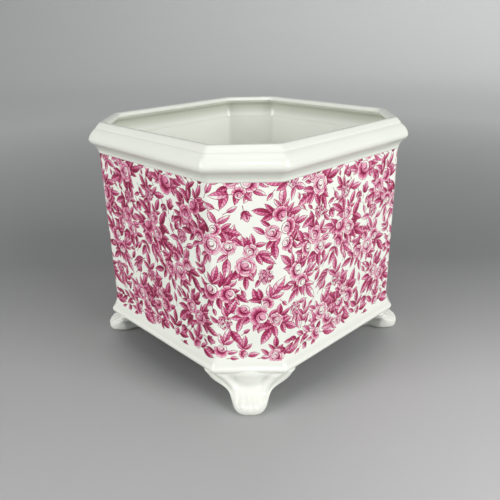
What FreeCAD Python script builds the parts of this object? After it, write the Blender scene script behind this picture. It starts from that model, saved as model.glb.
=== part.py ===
import FreeCAD, Part
import math
import os

# A footed porcelain flower pot: a square pot with cut corners, a cornice round its mouth,
# a flared plinth, a foot under each corner and a printed sheet on each side.
# Sizes are in millimetres. Z is up, the feet stand on Z = 0 and the faces are square to X and Y.

# Whole pot
pot_height = 165.0
wall_width = 170.0          # across two opposite faces, outside
corner_cut = 29.0           # how much of each face the cut corner takes away
corner_radius = 5.0         # soft edge between a face and a cut corner, outside
wall_thickness = 5.5

# Heights of the stages
foot_height = 24.5
floor_thickness = 6.0
plinth_height = 8.5
rim_height = 20.0

# Lap joints between the wall and its two mouldings
lap_depth = 2.5             # thickness of the moulding's edge let into the wall
lap_height = 3.6            # how far the wall's tongue stands up inside the rim

# Rim, from the bottom up; a reach is measured out from the wall's face
bead_root = 0.5
bead_bulge = 0.4
bead_height = 1.8
cavetto_hollow = 1.2        # depth of the hollow under the tip
tip_reach = 5.4             # where the rounded tip starts and ends
tip_bulge = 0.6
tip_height = 3.6
tip_drop = 10.2             # from the top of the lip down to the middle of the tip
face_swell = 0.4            # rise of the sloping face above a straight line
groove_drop = 3.4           # from the top of the lip down to the groove
groove_reach = -0.5
groove_step = 0.5
lip_swell = 0.2
lip_edge_drop = 0.9         # from the top of the lip down to where its edge turns over
lip_edge_reach = -2.5
lip_turn = 1.3              # how far in the edge takes to turn level
lip_width = 4.6
lip_depth = 3.8             # height of the lip's inner face
lip_round = 2.0
lip_under_round = 0.8
mouth_radius = 3.5          # soft corner of the mouth, seen from above
recess_reach = 1.4          # how far the inner face leans out behind the cornice
recess_hollow = 0.6         # depth of the round where it turns in under the lip

# Plinth; a reach is measured out from the wall's face
plinth_foot_reach = 2.4
plinth_nose_reach = 4.4
plinth_nose_height = 3.8
plinth_nose_bulge = 0.5
plinth_hollow = 0.7         # depth of the flare's hollow

# Printed sheets
sheet_thickness = 0.25

# Feet; a reach is measured out from the cut corner's face
foot_wing = 9.0             # how far the bracket runs back past the corner's ends
foot_sections = [
    # share of the height, heel, widest place, toe, half the width
    (0.00, -14.0, 3.5, 9.4, 5.8),
    (0.06, -14.6, 4.0, 12.2, 8.4),
    (0.22, -15.6, 4.0, 14.2, 10.6),
    (0.38, -16.2, 3.0, 12.2, 12.0),
    (0.50, -17.0, 0.5, 9.0, 14.2),
    (0.64, -18.0, -2.0, 6.0, 18.6),
    (0.80, -19.4, -5.0, 4.0, 24.6),
    (1.00, -22.0, -foot_wing, plinth_foot_reach, corner_cut / math.sqrt(2.0) + foot_wing),
]
foot_squareness = 2.6       # 2 is an oval, more is squarer
foot_points = 16
key_length = 13.0
key_width = 10.0
key_height = 2.5
key_inset = 13.0            # from the cut corner's face in to the middle of the key
key_clearance = 0.25

# Sizes worked out from the ones above
upward = FreeCAD.Vector(0, 0, 1)
eighth = math.pi / 4.0
foot_angles = [-eighth, eighth, 3.0 * eighth, -3.0 * eighth]
plinth_top = foot_height + plinth_height
floor_top = foot_height + floor_thickness
rim_bottom = pot_height - rim_height
tongue_top = rim_bottom + lap_height
tip_bottom = pot_height - tip_drop - tip_height / 2.0
tip_top = tip_bottom + tip_height
lip_crown = lip_edge_reach - lip_turn
lip_bottom = pot_height - lip_depth
lip_overhang = lip_width - lip_edge_reach - wall_thickness
inner_radius = mouth_radius + lip_overhang
corner_reach = (wall_width - corner_cut) / math.sqrt(2.0)
same_place = 0.001


def polar(angle, length):
    return FreeCAD.Vector(length * math.cos(angle), length * math.sin(angle), 0)


def side_runs(inset, radius):
    """The straight part of each of the eight sides, going round: angle it faces, start and end."""
    width = wall_width - 2.0 * inset
    cut = corner_cut - inset * (2.0 - math.sqrt(2.0))
    runs = []
    for index in range(8):
        angle = index * eighth
        on_face = index % 2 == 0
        reach = width / 2.0 if on_face else (width - cut) / math.sqrt(2.0)
        length = width - 2.0 * cut if on_face else cut * math.sqrt(2.0)
        half_run = length / 2.0 - radius * math.tan(eighth / 2.0)
        middle = polar(angle, reach)
        along = polar(angle + math.pi / 2.0, half_run)
        runs.append((angle, middle - along, middle + along))
    return runs


outer_runs = side_runs(0.0, corner_radius)
inner_runs = side_runs(wall_thickness, inner_radius)


def prism(runs, radius, offset, bottom, top):
    """A solid block with the rounded eight-sided outline, set out from the runs by the offset."""
    edges = []
    for index, (angle, start, end) in enumerate(runs):
        next_angle, next_start, next_end = runs[(index + 1) % 8]
        first = start + polar(angle, offset)
        last = end + polar(angle, offset)
        middle = end - polar(angle, radius) + polar(angle + eighth / 2.0, radius + offset)
        following = next_start + polar(next_angle, offset)
        edges.append(Part.LineSegment(first, last).toShape())
        edges.append(Part.Arc(last, middle, following).toShape())
    face = Part.Face(Part.Wire(edges))
    face.translate(upward * bottom)
    return face.extrude(upward * (top - bottom))


def outer_prism(offset, bottom, top):
    return prism(outer_runs, corner_radius, offset, bottom, top)


def inner_prism(offset, bottom, top):
    return prism(inner_runs, inner_radius, offset, bottom, top)


def section(points):
    """A closed face in the upright plane. A point is (out, height, bow); bow curves the line to it."""
    edges = []
    for index, (out, height, bow) in enumerate(points):
        last_out, last_height, last_bow = points[index - 1]
        start = FreeCAD.Vector(last_out, 0, last_height)
        end = FreeCAD.Vector(out, 0, height)
        if bow == 0:
            edges.append(Part.LineSegment(start, end).toShape())
        else:
            chord = end - start
            side = FreeCAD.Vector(chord.z, 0, -chord.x).normalize()
            edges.append(Part.Arc(start, (start + end) * 0.5 + side * bow, end).toShape())
    return Part.Face(Part.Wire(edges))


def level_bow(across, along):
    """The bow of an arc that leaves its end along one axis and has moved across by the other."""
    return math.hypot(across, along) / 2.0 * math.tan(math.atan2(across, along) / 2.0)


def placed_section(face, angle, spot):
    placed = face.copy()
    placed.rotate(FreeCAD.Vector(0, 0, 0), upward, math.degrees(angle))
    placed.translate(spot)
    return placed


def run_along(face, run):
    """The section drawn along one straight side."""
    angle, start, end = run
    return placed_section(face, angle, start).extrude(end - start)


def turn_at(face, angle, spot, radius, turn):
    """The section turned about a corner's upright axis, from a spot at one end of a side."""
    return placed_section(face, angle, spot).revolve(spot - polar(angle, radius), upward, math.degrees(turn))


def moulding(face, runs, radius):
    """The section drawn along every side and turned round every corner."""
    pieces = []
    for run in runs:
        angle, start, end = run
        pieces.append(run_along(face, run))
        pieces.append(turn_at(face, angle, end, radius, eighth))
    return pieces[0].multiFuse(pieces[1:]).removeSplitter()


def body_wall():
    """Plumb wall, rebated outside at the top and bottom where the mouldings lap it."""
    panel = outer_prism(0.0, plinth_top, rim_bottom)
    tongue = outer_prism(-lap_depth, floor_top, tongue_top)
    hollow = inner_prism(0.0, floor_top, tongue_top)
    return panel.fuse(tongue).cut(hollow).removeSplitter()


def floor_slab():
    """Flat floor under the wall, with a pocket for the key of each foot."""
    slab = outer_prism(-lap_depth, foot_height, floor_top)
    for angle in foot_angles:
        slab = slab.cut(foot_key(angle, key_clearance))
    return slab


def rim_outside():
    """Cornice: bead, hollow, rounded tip, sloping face, groove and the outer half of the lip."""
    profile = section([
        (-lap_depth, rim_bottom, 0),
        (bead_root, rim_bottom, 0),
        (bead_root, rim_bottom + bead_height, bead_bulge),
        (tip_reach, tip_bottom, -cavetto_hollow),
        (tip_reach, tip_top, tip_bulge),
        (groove_reach, pot_height - groove_drop, face_swell),
        (groove_reach - groove_step, pot_height - groove_drop, 0),
        (lip_edge_reach, pot_height - lip_edge_drop, lip_swell),
        (lip_crown, pot_height, level_bow(lip_edge_drop, lip_turn)),
        (lip_crown, tongue_top, 0),
        (-lap_depth, tongue_top, 0),
    ])
    return moulding(profile, outer_runs, corner_radius)


def rim_recess():
    """The hollow behind the cornice, under the lip's inner half."""
    inside = -lip_overhang - mouth_radius / 2.0
    profile = section([
        (inside, tongue_top, 0),
        (0.0, tongue_top, 0),
        (recess_reach, tip_top, -level_bow(recess_reach, tip_top - tongue_top)),
        (-lip_overhang, lip_bottom, recess_hollow),
        (inside, lip_bottom, 0),
    ])
    return moulding(profile, inner_runs, inner_radius)


def rim_moulding():
    """Cornice with a rounded lip, hollow behind, sitting over the wall's tongue."""
    core = outer_prism(lip_crown, tongue_top, pot_height)
    mouth = inner_prism(-lip_overhang, tongue_top, pot_height)
    rim = rim_outside().fuse(core).cut(mouth).cut(rim_recess()).removeSplitter()
    level = [face for face in rim.Faces if abs(face.CenterOfMass.z - pot_height) < same_place]
    top = max(level, key=lambda face: face.Area)
    upper = [edge for wire in top.Wires if not wire.isSame(top.OuterWire) for edge in wire.Edges]
    rim = rim.makeFillet(lip_round, upper)
    lower = [edge for edge in rim.Edges if all(abs(end.Z - lip_bottom) < same_place for end in edge.Vertexes)]
    return rim.makeFillet(lip_under_round, lower)


def plinth_moulding():
    """Flared base moulding round the floor and the foot of the wall."""
    profile = section([
        (-lap_depth, foot_height, 0),
        (plinth_foot_reach, foot_height, 0),
        (plinth_nose_reach, foot_height + plinth_nose_height, plinth_nose_bulge),
        (sheet_thickness, plinth_top, -plinth_hollow),
        (-lap_depth, plinth_top, 0),
    ])
    return moulding(profile, outer_runs, corner_radius)


def foot_key(angle, clearance):
    """Flat key on top of a foot; the clearance widens it for the pocket it sits in."""
    length = key_length + 2.0 * clearance
    width = key_width + 2.0 * clearance
    corner = FreeCAD.Vector(corner_reach - key_inset - length / 2.0, -width / 2.0, foot_height)
    key = Part.makeBox(length, width, key_height + clearance, corner)
    key.rotate(FreeCAD.Vector(0, 0, 0), upward, math.degrees(angle))
    return key


def foot_outline(share, heel, widest, toe, half_width):
    """One level section: a squared oval, with its widest place nearer the toe than the heel."""
    power = 2.0 / foot_squareness
    points = []
    for index in range(foot_points):
        turn = 2.0 * math.pi * index / foot_points
        out = math.copysign(abs(math.cos(turn)) ** power, math.cos(turn))
        aside = math.copysign(abs(math.sin(turn)) ** power, math.sin(turn))
        half_length = toe - widest if out > 0 else widest - heel
        reach = corner_reach + widest + half_length * out
        points.append(FreeCAD.Vector(reach, half_width * aside, share * foot_height))
    curve = Part.BSplineCurve()
    curve.interpolate(points, PeriodicFlag=True)
    return Part.Wire(curve.toShape())


def foot(angle):
    """Pressed corner foot: a rounded toe below, spreading to the full corner under the plinth."""
    body = Part.makeLoft([foot_outline(*row) for row in foot_sections], True, False)
    body.rotate(FreeCAD.Vector(0, 0, 0), upward, math.degrees(angle))
    return body.fuse(foot_key(angle, 0.0))


def transfer(corner):
    """Printed sheet on one cut corner and the face after it, parted at the middle of the soft edges."""
    sheet = section([
        (0.0, plinth_top, 0),
        (sheet_thickness, plinth_top, 0),
        (sheet_thickness, rim_bottom, 0),
        (0.0, rim_bottom, 0),
    ])
    corner_angle, corner_start, corner_end = outer_runs[corner]
    face_angle, face_start, face_end = outer_runs[(corner + 1) % 8]
    pieces = [
        turn_at(sheet, corner_angle, corner_start, corner_radius, -eighth / 2.0),
        run_along(sheet, outer_runs[corner]),
        turn_at(sheet, corner_angle, corner_end, corner_radius, eighth),
        run_along(sheet, outer_runs[(corner + 1) % 8]),
        turn_at(sheet, face_angle, face_end, corner_radius, eighth / 2.0),
    ]
    return pieces[0].multiFuse(pieces[1:]).removeSplitter()


nodes = {
    "body_wall": body_wall(),
    "rim_moulding": rim_moulding(),
    "plinth_moulding": plinth_moulding(),
    "floor_slab": floor_slab(),
}
for name, angle in zip(["front_right", "back_right", "back_left", "front_left"], foot_angles):
    nodes["foot_" + name] = foot(angle)
for index, name in enumerate(["right", "back", "left", "front"]):
    nodes["transfer_" + name] = transfer(2 * index - 1)

os.makedirs("parts", exist_ok=True)
for name, shape in nodes.items():
    print(name, shape.isValid(), len(shape.Solids), round(shape.Volume), shape.optimalBoundingBox())
    shape.exportStep("parts/" + name + ".step")
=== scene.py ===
# %% [markdown]
# # A footed porcelain flower pot
# The pot is slip-cast porcelain: a square body with cut corners, a cornice round the mouth, a
# flared plinth and four pressed feet, with one printed sheet of roses fired onto each side.
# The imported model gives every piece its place, and this lesson dresses it in glaze and print.

# %% Load the frame
import math

import bpy
import numpy as np
from mathutils import Matrix, Vector
from mathutils.geometry import delaunay_2d_cdt


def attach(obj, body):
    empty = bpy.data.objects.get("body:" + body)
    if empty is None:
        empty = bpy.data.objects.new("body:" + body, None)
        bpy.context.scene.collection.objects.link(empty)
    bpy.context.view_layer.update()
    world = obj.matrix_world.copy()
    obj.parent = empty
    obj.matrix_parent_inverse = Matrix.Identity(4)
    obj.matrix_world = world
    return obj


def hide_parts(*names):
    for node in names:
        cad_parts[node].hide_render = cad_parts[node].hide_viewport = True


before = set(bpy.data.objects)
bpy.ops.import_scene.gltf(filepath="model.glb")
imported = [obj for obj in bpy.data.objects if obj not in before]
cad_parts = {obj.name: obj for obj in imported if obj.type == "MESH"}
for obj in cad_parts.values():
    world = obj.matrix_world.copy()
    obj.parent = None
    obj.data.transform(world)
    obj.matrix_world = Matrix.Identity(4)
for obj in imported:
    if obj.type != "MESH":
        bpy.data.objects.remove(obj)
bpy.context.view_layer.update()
mm = 0.001
print("frame nodes:", sorted(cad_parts))

# %% [markdown]
# ## Camera
# The photograph looks down on a cut corner from a little above the rim. The camera could be aimed
# with a Track To constraint, but the real one was tipped and rolled by a degree or two, so its
# axes are worked out here by turning an aimed set of axes about themselves, one turn at a time.

# %% Camera at the photograph's angle
view_azimuth = math.radians(46.32)
view_height = math.radians(20.63)
view_distance = 0.4146
aim_point = Vector((0.0, 0.0, 0.080))
lens_mm = 39.98
sideways_turn = -0.068
tip = -1.992
roll = -1.24


def turned_pair(first, second, degrees):
    """Two square axes turned about the third: each is a cosine of itself and a sine of the other."""
    cosine = math.cos(math.radians(degrees))
    sine = math.sin(math.radians(degrees))
    return first * cosine + second * sine, second * cosine - first * sine


toward_camera = Vector((
    math.sin(view_azimuth) * math.cos(view_height),
    -math.cos(view_azimuth) * math.cos(view_height),
    math.sin(view_height),
))
ahead = -toward_camera
aside = ahead.cross(Vector((0.0, 0.0, 1.0))).normalized()
above = aside.cross(ahead)
ahead, aside = turned_pair(ahead, aside, sideways_turn)
ahead, above = turned_pair(ahead, above, tip)
aside, above = turned_pair(aside, above, roll)


def add_object(name, data):
    """A new object in the scene."""
    thing = bpy.data.objects.new(name, data)
    bpy.context.scene.collection.objects.link(thing)
    return thing


camera_data = bpy.data.cameras.new("camera")
camera_data.lens = lens_mm
camera_data.sensor_width = 36.0
camera = add_object("camera", camera_data)
camera_axes = Matrix((aside, above, -ahead)).transposed().to_4x4()
camera_axes.translation = aim_point + toward_camera * view_distance
camera.matrix_world = camera_axes
camera_data.clip_start = 0.01
bpy.context.scene.camera = camera
print("camera stands at", [round(value, 3) for value in camera_axes.translation])

# %% [markdown]
# ## Mesh helpers
# Every new piece is a grid: one direction goes round the pot or the foot, the other follows a
# profile. The points are worked out as whole arrays and handed to the mesh in one go.

# %% Grids and pieces
sharp_angle = math.radians(50.0)


def grid_quads(rows, columns, rows_close):
    """Quads of a grid whose columns always close on themselves, and whose rows do if asked."""
    row = np.arange(rows if rows_close else rows - 1)[:, None]
    column = np.arange(columns)[None, :]
    next_row = (row + 1) % rows
    next_column = (column + 1) % columns
    corners = [row * columns + column, row * columns + next_column,
               next_row * columns + next_column, next_row * columns + column]
    return np.stack(np.broadcast_arrays(*corners), -1).reshape(-1, 4)


def turned(points, angle):
    """Flat points turned about the origin: (x cos - y sin, x sin + y cos)."""
    east, north = points[..., 0], points[..., 1]
    cosine, sine = np.cos(angle), np.sin(angle)
    return np.stack([east * cosine - north * sine, east * sine + north * cosine], -1)


def polar(distance, angle):
    """Flat points at a distance and an angle: (d cos, d sin)."""
    return np.stack([distance * np.cos(angle), distance * np.sin(angle)], -1)


def full_turn(count):
    """Evenly spaced angles once round."""
    return np.arange(count) * 2.0 * math.pi / count


def lifted(flat, heights):
    """Flat points given their heights, as one list of points."""
    heights = np.broadcast_to(heights, flat.shape[:-1])
    return np.concatenate([flat, heights[..., None]], -1).reshape(-1, 3)


def fan(middle, ring):
    """Triangles from a middle point to each side of a closed ring of points."""
    return np.stack([np.full(len(ring), middle), ring, np.roll(ring, -1)], -1)


def capped(points, quads, columns):
    """Closes the first and last row of a grid with fans to their middle points."""
    low, high = points[:columns].mean(0), points[-columns:].mean(0)
    count = len(points)
    ring = np.arange(columns)
    bottom = fan(count, ring)[:, [0, 2, 1]]
    top = fan(count + 1, count - columns + ring)
    return np.vstack([points, low, high]), quads.tolist() + bottom.tolist() + top.tolist()


def new_piece(name, points, faces, node):
    """A smooth-shaded mesh at the origin from points in millimetres, riding on the pot's one body."""
    mesh = bpy.data.meshes.new(name)
    mesh.from_pydata(points * mm, [], faces)
    mesh.validate()
    mesh.shade_smooth()
    mesh.set_sharp_from_angle(angle=sharp_angle)
    piece = add_object(name, mesh)
    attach(piece, "root")
    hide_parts(node)
    print(name, "has", len(mesh.vertices), "points and", len(mesh.polygons), "faces")
    return piece


# %% [markdown]
# ## The eight-sided path
# All the mouldings follow the pot's outline: four faces and four cut corners, softly rounded where
# they meet. A ring is that outline moved out by a reach, with its own corner rounding, so a profile
# is a list of reaches and heights and each ring of the grid is one point of the profile.

# %% Rings round the pot
wall_half = 85.0
corner_cut = 29.0
corner_reach = (2.0 * wall_half - corner_cut) / math.sqrt(2.0)
wall_radius = 5.0
arc_steps = 9
run_steps = 22
side_angles = np.arange(8) * math.pi / 4.0
side_reaches = np.where(np.arange(8) % 2 == 0, wall_half, corner_reach)


def outline_rings(reaches, radii):
    """Rings of the rounded outline, one per reach.

    A corner's centre is where the two sides beside it cross when moved in by the radius. Its arc
    is the centre plus the radius times (cos, sin) of angles from one side's to the next one's,
    and the straight run before it is a blend from the last arc's end to this arc's start.
    Returns the points and the angle each one faces, both level by level.
    """
    reaches = np.asarray(reaches, float)[:, None]
    radii = np.asarray(radii, float)[:, None]
    eighth = math.pi / 4.0
    inset = side_reaches[None, :] + reaches - radii
    along = (np.roll(inset, -1, axis=1) - inset * math.cos(eighth)) / math.sin(eighth)
    centre = turned(np.stack([inset, along], -1), side_angles)
    facing = side_angles[:, None] + np.linspace(0.0, eighth, arc_steps)[None, :]
    arcs = centre[:, :, None, :] + radii[:, :, None, None] * polar(1.0, facing)[None]
    share = np.linspace(0.0, 1.0, run_steps + 2)[1:-1, None]
    starts = np.roll(arcs[:, :, -1], 1, axis=1)[:, :, None, :]
    ends = arcs[:, :, :1]
    runs = starts * (1.0 - share) + ends * share
    ring = np.concatenate([runs, arcs], axis=2)
    run_facing = np.repeat(side_angles[:, None], run_steps, axis=1)
    angles = np.concatenate([run_facing, facing], axis=1).reshape(-1)
    return ring.reshape(len(ring), -1, 2), angles


# %% [markdown]
# ### Profiles
# A profile is drawn as a few points with a bow in each stretch, then evened out and rounded the way a
# coat of glaze rounds an edge. Where it is hollow, glaze gathers.

# %% Profiles and mouldings
hollow_gain = 0.8
deepest_pool = 0.4


def bowed_line(points, steps):
    """A profile through (out, height, bow) points: each stretch is a chord plus a sine-shaped bow."""
    stretches = []
    for (out_a, high_a, _), (out_b, high_b, bow) in zip(points[:-1], points[1:]):
        share = np.linspace(0.0, 1.0, steps, endpoint=False)
        length = math.hypot(out_b - out_a, high_b - high_a)
        swell = bow * np.sin(math.pi * share)
        out = out_a + (out_b - out_a) * share + swell * (high_b - high_a) / length
        high = high_a + (high_b - high_a) * share - swell * (out_b - out_a) / length
        stretches.append(np.stack([out, high], -1))
    last = points[-1]
    return np.vstack(stretches + [[last[:2]]])


def even_steps(line, spacing):
    """The same line with points at an even spacing along its length."""
    travel = np.concatenate([[0.0], np.cumsum(np.hypot(*np.diff(line, axis=0).T))])
    places = np.linspace(0.0, travel[-1], max(4, int(round(travel[-1] / spacing)) + 1))
    return np.stack([np.interp(places, travel, line[:, 0]), np.interp(places, travel, line[:, 1])], -1)


def bell_weights(softness, spacing):
    """Weights of a bell-shaped mean that add up to 1, out to three times the softness either way."""
    steps = int(round(3.0 * softness / spacing))
    bell = np.exp(-0.5 * (np.arange(-steps, steps + 1) * spacing / softness) ** 2)
    return bell / bell.sum(), steps


def glaze_softened(line, softness, spacing):
    """A line rounded as a coat of glaze rounds an edge: a bell-weighted mean of its neighbours.

    The ends are carried on straight first, so the line keeps its first and last points.
    """
    bell, steps = bell_weights(softness, spacing)
    before = line[0] + (line[0] - line[1]) * np.arange(steps, 0, -1)[:, None]
    after = line[-1] + (line[-1] - line[-2]) * np.arange(1, steps + 1)[:, None]
    longer = np.vstack([before, line, after])
    return np.stack([np.convolve(longer[:, axis], bell, "valid") for axis in (0, 1)], -1)


def hollow_depth(line):
    """How much glaze gathers at each point of a profile: its signed curvature where it is hollow."""
    slope = np.gradient(line, axis=0)
    bend = np.gradient(slope, axis=0)
    turn = slope[:, 0] * bend[:, 1] - slope[:, 1] * bend[:, 0]
    curvature = turn / np.maximum(np.hypot(slope[:, 0], slope[:, 1]), 1e-6) ** 3
    return np.clip(-curvature * hollow_gain, 0.0, deepest_pool)


def hand_made(angles, heights, depth):
    """The slight unevenness of a cast and fettled moulding: slow waves, always inward."""
    wave = np.sin(3.0 * angles + 0.7) + np.sin(7.0 * angles + heights * 0.31 + 2.1)
    wave = wave + 0.6 * np.sin(13.0 * angles - heights * 0.22)
    return depth * (wave - 2.6) / 5.2


def ring_moulding(line, radii, unevenness):
    """Profile carried round the outline: a ring per profile point, pushed in by the unevenness."""
    ring, angles = outline_rings(line[:, 0], radii)
    flat_angle = np.arctan2(ring[:, :, 1], ring[:, :, 0])
    push = hand_made(flat_angle, line[:, 1][:, None], unevenness[:, None])
    ring = ring + push[:, :, None] * polar(1.0, angles)[None]
    return lifted(ring, line[:, 1:]), ring.shape[1]


def add_pooling_and_shade(piece, values):
    """Stores how much glaze has gathered at each point, and on the rim the painted shade, for the glaze's
    colour to read.
    """
    layer = piece.data.attributes.new("pooling_and_shade", "FLOAT", "POINT")
    layer.data.foreach_set("value", np.ascontiguousarray(values, np.float32))


# %% [markdown]
# ## Rim
# The cornice was cast with the pot and dipped in glaze, so its edges are crisp in plan but soft in
# section. A bevel would give every edge the same radius. Here the profile is drawn with its bead,
# hollow, tip, sloping face, groove and lip, then softened the way glaze softens it.

# %% Rim profile and mesh
rim_bottom = 145.0
pot_height = 165.0
tongue_top = 148.6
inner_reach = -5.5
profile_spacing = 0.3
glaze_softness = 0.70
thick_coat = 0.15


def glazed_line(points, steps):
    line = even_steps(bowed_line(points, steps), profile_spacing)
    return glaze_softened(line, glaze_softness, profile_spacing)


def moulding(name, node, line, hidden, radii, hidden_radius, uneven, pooling_and_shade):
    """A closed ring: the seen line and its hidden back carried round, with the glaze gathered on it and
    any painted shade.
    """
    profile = np.vstack([line, hidden])
    radii = np.concatenate([radii, np.full(len(hidden), hidden_radius)])
    points, columns = ring_moulding(profile, radii, np.interp(profile[:, 1], *uneven))
    piece = new_piece(name, points, grid_quads(len(profile), columns, True).tolist(), node)
    add_pooling_and_shade(piece, np.repeat(np.concatenate([pooling_and_shade, np.zeros(len(hidden))]), columns))
    return piece


rim_line = glazed_line([
    (0.30, rim_bottom, 0.0),
    (0.80, 145.2, 0.0),
    (0.55, 146.2, 0.25),
    (5.25, 152.4, -0.60),
    (5.45, 156.2, 0.60),
    (2.05, 160.7, 0.35),
    (1.00, 161.2, -0.08),
    (-0.80, 163.6, 0.48),
    (-2.60, pot_height, 0.45),
    (-4.80, 164.8, 0.12),
    (-7.00, 163.2, 0.50),
    (-6.90, 161.9, 0.20),
    (-5.20, 160.4, -0.40),
    (-4.00, 157.6, -0.45),
    (-4.20, 154.0, -0.12),
    (-5.20, 150.6, -0.10),
    (inner_reach, tongue_top, 0.06),
], 12)
rim_hidden = np.array([[-4.0, tongue_top - 0.2], [-2.6, tongue_top - 0.2], [-2.6, rim_bottom + 0.2]])
rim_share = np.linspace(0.0, 1.0, len(rim_line))
rim_radii = np.interp(rim_share, [0.0, 0.10, 0.35, 0.52, 0.62, 0.72, 1.0],
                      [5.3, 5.2, 5.4, 5.4, 6.2, 7.0, 6.0])
rim_uneven = ([rim_bottom, 150.0], [0.0, 0.42])
# Painted shade, stored with the glaze pooling: a darker band on the inner wall under the lip, and one in
# the hollow under the tip.
painted_shade_under_lip = np.interp(rim_line[:, 1], [150.0, 155.0, 159.5, 161.8], [0.0, 0.60, 1.0, 0.0])
painted_shade_under_tip = np.interp(rim_line[:, 1], [145.2, 147.5, 150.8, 152.4], [0.22, 0.36, 0.55, 0.0])
rim_pooling_and_shade = np.maximum(hollow_depth(rim_line), thick_coat)
rim_pooling_and_shade = np.where(rim_line[:, 0] < -3.4, np.maximum(rim_pooling_and_shade, painted_shade_under_lip), rim_pooling_and_shade)
rim_pooling_and_shade = np.where(rim_line[:, 0] > 0.0, np.maximum(rim_pooling_and_shade, painted_shade_under_tip), rim_pooling_and_shade)
rim = moulding("rim", "rim_moulding", rim_line, rim_hidden, rim_radii, 5.2, rim_uneven, rim_pooling_and_shade)

# %% [markdown]
# ## Plinth
# Below the print the wall flares out over a hollow to a rounded nose and turns back under it. It is
# the same kind of piece as the rim, with its own profile.

# %% Plinth profile and mesh
foot_height = 24.5
plinth_top = 33.0
flare_top = 43.0
flare_reach = 1.2
sheet_thickness = 0.25

plinth_line = glazed_line([
    (-2.0, foot_height, 0.0),
    (2.4, foot_height, 0.0),
    (4.0, 26.2, 0.25),
    (4.4, 28.3, 0.25),
    (sheet_thickness + flare_reach, plinth_top, -0.55),
], 14)
plinth_hidden = np.array([[-2.6, plinth_top], [-2.6, foot_height + 0.1]])
plinth_share = np.linspace(0.0, 1.0, len(plinth_line))
plinth_radii = np.interp(plinth_share, [0.0, 0.30, 0.45, 1.0], [4.0, 4.0, 4.4, 5.25])
plinth_uneven = ([28.0, plinth_top], [0.25, 0.0])
plinth = moulding("plinth", "plinth_moulding", plinth_line, plinth_hidden, plinth_radii, 5.0,
                  plinth_uneven, hollow_depth(plinth_line))

# %% [markdown]
# ## Floor
# Slip drains out of a mould and leaves a round cove where the floor meets the wall. The floor is a
# dish: a quarter-round that follows the outline, then the same ring shrunk towards the middle.

# %% Floor dish
floor_top = 30.5
cove = 7.0
dish_sag = np.array([0.1, 0.2, 0.25])
cove_turn = np.linspace(0.0, math.pi / 2.0, 9)
dish_reach = inner_reach - cove + cove * np.cos(cove_turn)
dish_reach = np.concatenate([dish_reach, np.full(3, inner_reach - cove)])
dish_height = np.concatenate([floor_top + cove - cove * np.sin(cove_turn), floor_top - dish_sag])
dish_shrink = np.concatenate([np.ones(len(cove_turn)), [0.75, 0.45, 0.12]])
under_reach = np.array([-9.0, -9.0, -9.0, -2.6, -2.6, -4.5])
under_height = np.concatenate([np.full(4, foot_height), [floor_top, floor_top + cove]])
under_shrink = np.array([0.12, 0.55, 1.0, 1.0, 1.0, 1.0])
floor_line = np.stack([
    np.concatenate([under_reach, dish_reach]),
    np.concatenate([under_height, dish_height]),
], -1)
floor_radii = np.interp(floor_line[:, 0], [-14.0, -2.6], [4.0, 5.1])
floor_points, floor_columns = ring_moulding(floor_line, floor_radii, np.zeros(len(floor_line)))
floor_points[:, :2] *= np.repeat(np.concatenate([under_shrink, dish_shrink]), floor_columns)[:, None]
floor_quads = grid_quads(len(floor_line), floor_columns, False)
floor_points, floor_faces = capped(floor_points, floor_quads, floor_columns)
floor_dish = new_piece("floor_dish", floor_points, floor_faces, "floor_slab")

# %% [markdown]
# ## Feet
# Each corner stands on a pressed foot: a smooth knee that runs down from the plinth, two ridges that
# start at the ends of the cut corner and close in on the fluted toe, and a bracket that spreads
# under the plinth to both sides. Sculpting would do it by hand. Here a foot is a stack of level
# outlines: its toe, widest place, heel and half width follow smooth lines in height, and the relief
# is pushed out of its front.

# %% Foot sizes
foot_rows = np.array([
    # height, toe, widest, heel, half width
    (0.0, 110.4, 101.0, 87.0, 6.4),
    (0.4, 111.6, 101.0, 86.5, 7.8),
    (1.6, 112.6, 101.2, 86.0, 9.8),
    (4.0, 113.4, 101.2, 85.5, 11.1),
    (6.2, 113.4, 101.2, 85.2, 11.6),
    (7.8, 112.4, 101.2, 85.0, 12.0),
    (8.9, 110.4, 101.0, 84.8, 12.4),
    (9.8, 107.8, 100.8, 84.6, 12.8),
    (11.0, 104.8, 100.4, 84.4, 13.3),
    (12.4, 102.8, 99.8, 84.0, 14.6),
    (15.0, 101.0, 98.6, 83.4, 17.6),
    (18.0, 100.6, 97.2, 82.0, 22.2),
    (20.0, 100.8, 96.0, 81.0, 25.0),
    (22.0, 101.2, 94.6, 80.0, 27.6),
    (24.4, 101.6, 92.6, 78.0, 30.4),
    (24.9, 101.6, 95.0, 90.0, 18.0),
    (26.0, 101.5, 96.0, 91.0, 17.0),
    (27.5, 101.2, 96.0, 91.0, 15.0),
    (28.6, 100.6, 96.0, 91.0, 13.0),
    (29.6, 99.0, 96.0, 91.0, 12.0),
])
scroll_swell = 3.0
knee_reach = 2.9
heel_narrowing = 0.58
hollow_pooling = 0.25
foot_softness = 0.8
foot_levels = 76
foot_columns = 144

# %% Foot surface


def eased(values, places):
    """A smooth line through the rows' heights: straight stretches, then a bell-weighted mean."""
    heights = foot_rows[:, 0]
    fine = np.linspace(heights[0] - 4.0, heights[-1] + 4.0, 1200)
    line = np.interp(fine, heights, values)
    bell, reach = bell_weights(foot_softness, fine[1] - fine[0])
    soft = np.convolve(np.pad(line, reach, "edge"), bell, "valid")
    return np.interp(places, fine, soft)


def bump(values, middle, width):
    """A bell from 0 to 1 round a middle value."""
    return np.exp(-0.5 * ((values - middle) / width) ** 2)


def fade(values, low, high):
    """Rises smoothly from 0 below low to 1 above high."""
    share = np.clip((values - low) / (high - low), 0.0, 1.0)
    return share * share * (3.0 - 2.0 * share)


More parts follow.
